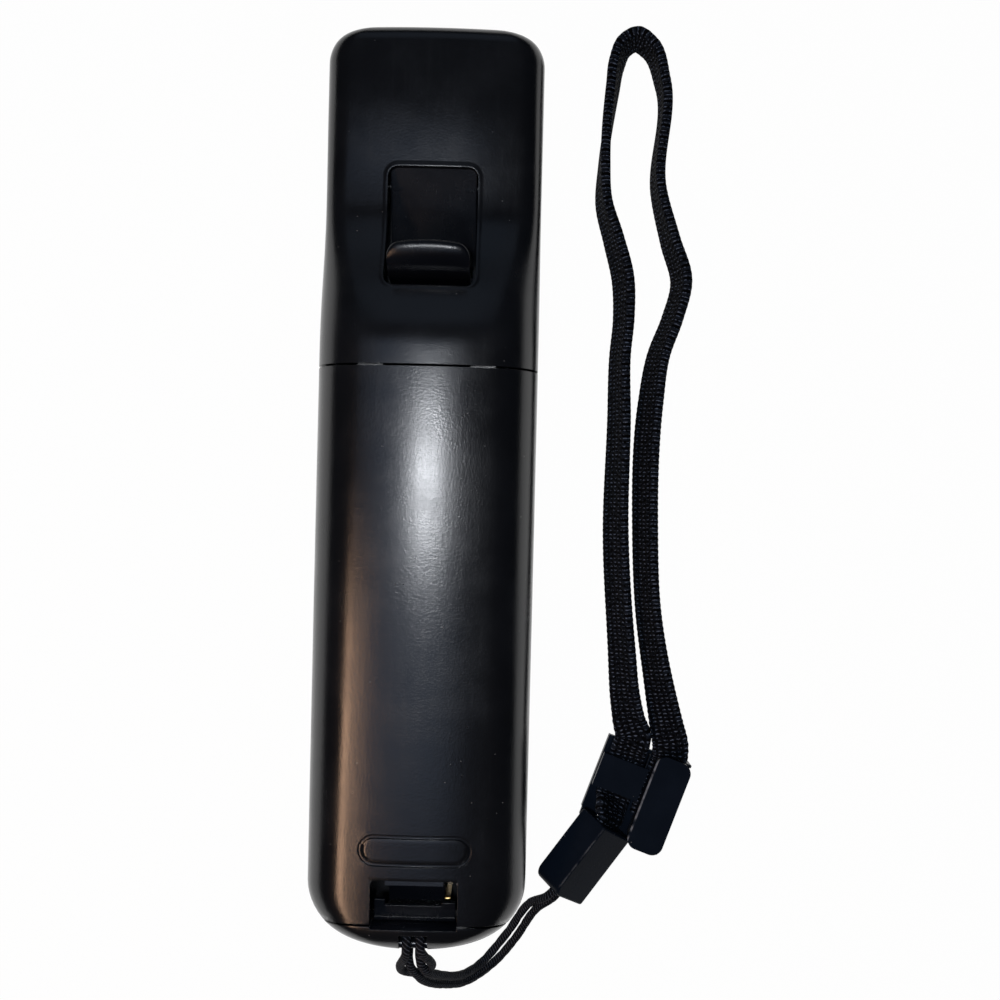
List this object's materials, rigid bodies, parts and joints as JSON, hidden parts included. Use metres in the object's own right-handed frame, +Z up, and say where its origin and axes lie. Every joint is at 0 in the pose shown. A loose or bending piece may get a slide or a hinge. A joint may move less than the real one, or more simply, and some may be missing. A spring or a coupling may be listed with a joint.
{
  "type": "motion controller wand",
  "caption": "Long hand-held motion controller wand with a rear trigger, front cross pad and buttons, battery cover, and a hitched wrist strap with a webbing lock.",
  "frame": {"origin": "middle of the wand at the plane of its main button tops, strap left out", "axes": "+X across to the strap side, +Y towards the nose, +Z up through the back"},
  "size_m": [0.0652, 0.1683, 0.0298],
  "materials": {
    "front_plastic": "fine satin",
    "rear_plastic": "smooth satin",
    "cover_plastic": "fine sparkle grain",
    "trigger_plastic": "semi gloss",
    "button_plastic": "semi gloss",
    "power_plastic": "semi gloss",
    "window": "dark tinted, glossy",
    "light_guide": "frosted clear",
    "board": "board lacquer",
    "chip": "moulded",
    "silicone": "matt",
    "rubber": "matt",
    "socket": "moulded",
    "shield": "tinned sheet",
    "steel": "plated",
    "contact": "plated spring brass",
    "cell": "plain wrapped cell",
    "weight": "sintered",
    "strap_plastic": "satin",
    "webbing": "knit edge webbing",
    "cord": "braided cord"
  },
  "bodies": {
    "housing": {"front_shell": "front_plastic", "rear_shell": "rear_plastic", "ir_window": "window", "camera_module": "chip", "main_board": "board", "board_chips": "chip", "radio_shield": "shield", "keypad_upper": "silicone", "keypad_middle": "silicone", "keypad_lower": "silicone", "speaker": "chip", "rumble_motor": "steel", "motor_cradle": "rubber", "light_guides": "light_guide", "accessory_socket": "socket", "contact_springs": "steel", "contact_plates": "contact", "battery_left": "cell", "battery_right": "cell", "case_screws": "steel", "strap_bar": "rear_plastic", "trigger_pin": "trigger_plastic", "trigger_spring": "steel", "trigger_switch": "rubber", "strap_cord": "cord", "cord_block": "strap_plastic", "strap_webbing": "webbing", "lock_base": "strap_plastic", "lock_pin": "strap_plastic"},
    "trigger": {"trigger": "trigger_plastic"},
    "power_button": {"power_button": "power_plastic"},
    "dpad_pivot": {"dpad_pivot": "steel"},
    "dpad": {"dpad": "button_plastic"},
    "main_button": {"main_button": "button_plastic"},
    "minus_button": {"minus_button": "button_plastic"},
    "home_button": {"home_button": "button_plastic"},
    "plus_button": {"plus_button": "button_plastic"},
    "one_button": {"one_button": "button_plastic"},
    "two_button": {"two_button": "button_plastic"},
    "sync_button": {"sync_button": "power_plastic"},
    "battery_cover": {"battery_cover": "cover_plastic"},
    "cover_latch": {"cover_latch": "trigger_plastic"},
    "rumble_weight": {"rumble_weight": "weight"},
    "lock_lever": {"lock_lever": "strap_plastic"}
  },
  "joints": [
    {"name": "trigger_pull", "type": "hinge", "parent": "housing", "child": "trigger", "pos_m": [0, 0.0501, 0.014], "axis": [1, 0, 0], "range_deg": [0, 7], "stiffness_Nm_per_rad": 0.06, "springref_deg": -6.88, "deforming": ["trigger_switch", "trigger_spring"]},
    {"name": "power_press", "type": "slide", "parent": "housing", "child": "power_button", "axis": [0, 0, 1], "range_m": [0, 0.0005], "stiffness_N_per_m": 600, "springref_m": -0.002, "deforming": ["keypad_upper"]},
    {"name": "pad_rock", "type": "hinge", "parent": "housing", "child": "dpad_pivot", "pos_m": [0, 0.049, 0.00405], "axis": [1, 0, 0], "range_deg": [-2, 2], "stiffness_Nm_per_rad": 0.3, "deforming": ["keypad_upper"]},
    {"name": "pad_roll", "type": "hinge", "parent": "dpad_pivot", "child": "dpad", "pos_m": [0, 0.049, 0.00405], "axis": [0, 1, 0], "range_deg": [-2, 2], "stiffness_Nm_per_rad": 0.3, "deforming": ["keypad_upper"]},
    {"name": "main_press", "type": "slide", "parent": "housing", "child": "main_button", "axis": [0, 0, 1], "range_m": [0, 0.0008], "stiffness_N_per_m": 800, "springref_m": -0.00225, "deforming": ["keypad_middle"]},
    {"name": "minus_press", "type": "slide", "parent": "housing", "child": "minus_button", "axis": [0, 0, 1], "range_m": [0, 0.0005], "stiffness_N_per_m": 600, "springref_m": -0.00167, "deforming": ["keypad_middle"]},
    {"name": "home_press", "type": "slide", "parent": "housing", "child": "home_button", "axis": [0, 0, 1], "range_m": [0, 0.0005], "stiffness_N_per_m": 600, "springref_m": -0.00167, "deforming": ["keypad_middle"]},
    {"name": "plus_press", "type": "slide", "parent": "housing", "child": "plus_button", "axis": [0, 0, 1], "range_m": [0, 0.0005], "stiffness_N_per_m": 600, "springref_m": -0.00167, "deforming": ["keypad_middle"]},
    {"name": "one_press", "type": "slide", "parent": "housing", "child": "one_button", "axis": [0, 0, 1], "range_m": [0, 0.0008], "stiffness_N_per_m": 800, "springref_m": -0.00225, "deforming": ["keypad_lower"]},
    {"name": "two_press", "type": "slide", "parent": "housing", "child": "two_button", "axis": [0, 0, 1], "range_m": [0, 0.0008], "stiffness_N_per_m": 800, "springref_m": -0.00225, "deforming": ["keypad_lower"]},
    {"name": "sync_press", "type": "slide", "parent": "housing", "child": "sync_button", "axis": [0, 0, -1], "range_m": [0, 0.0004], "stiffness_N_per_m": 600, "springref_m": -0.001},
    {"name": "cover_swing", "type": "hinge", "parent": "housing", "child": "battery_cover", "pos_m": [0, 0.0188, 0.0288], "axis": [-1, 0, 0], "range_deg": [0, 60]},
    {"name": "latch_flex", "type": "hinge", "parent": "battery_cover", "child": "cover_latch", "pos_m": [0, -0.0644, 0.015], "axis": [-1, 0, 0], "range_deg": [0, 4], "stiffness_Nm_per_rad": 0.08, "springref_deg": -3.44},
    {"name": "rumble_spin", "type": "hinge", "parent": "housing", "child": "rumble_weight", "pos_m": [-0.0113, 0.0535, 0.01005], "axis": [0, 1, 0], "continuous": true},
    {"name": "lock_flip", "type": "hinge", "parent": "housing", "child": "lock_lever", "pos_m": [0.04368, -0.05589, 0.00415], "axis": [0.342, 0.9397, 0], "range_deg": [0, 100]}
  ]
}
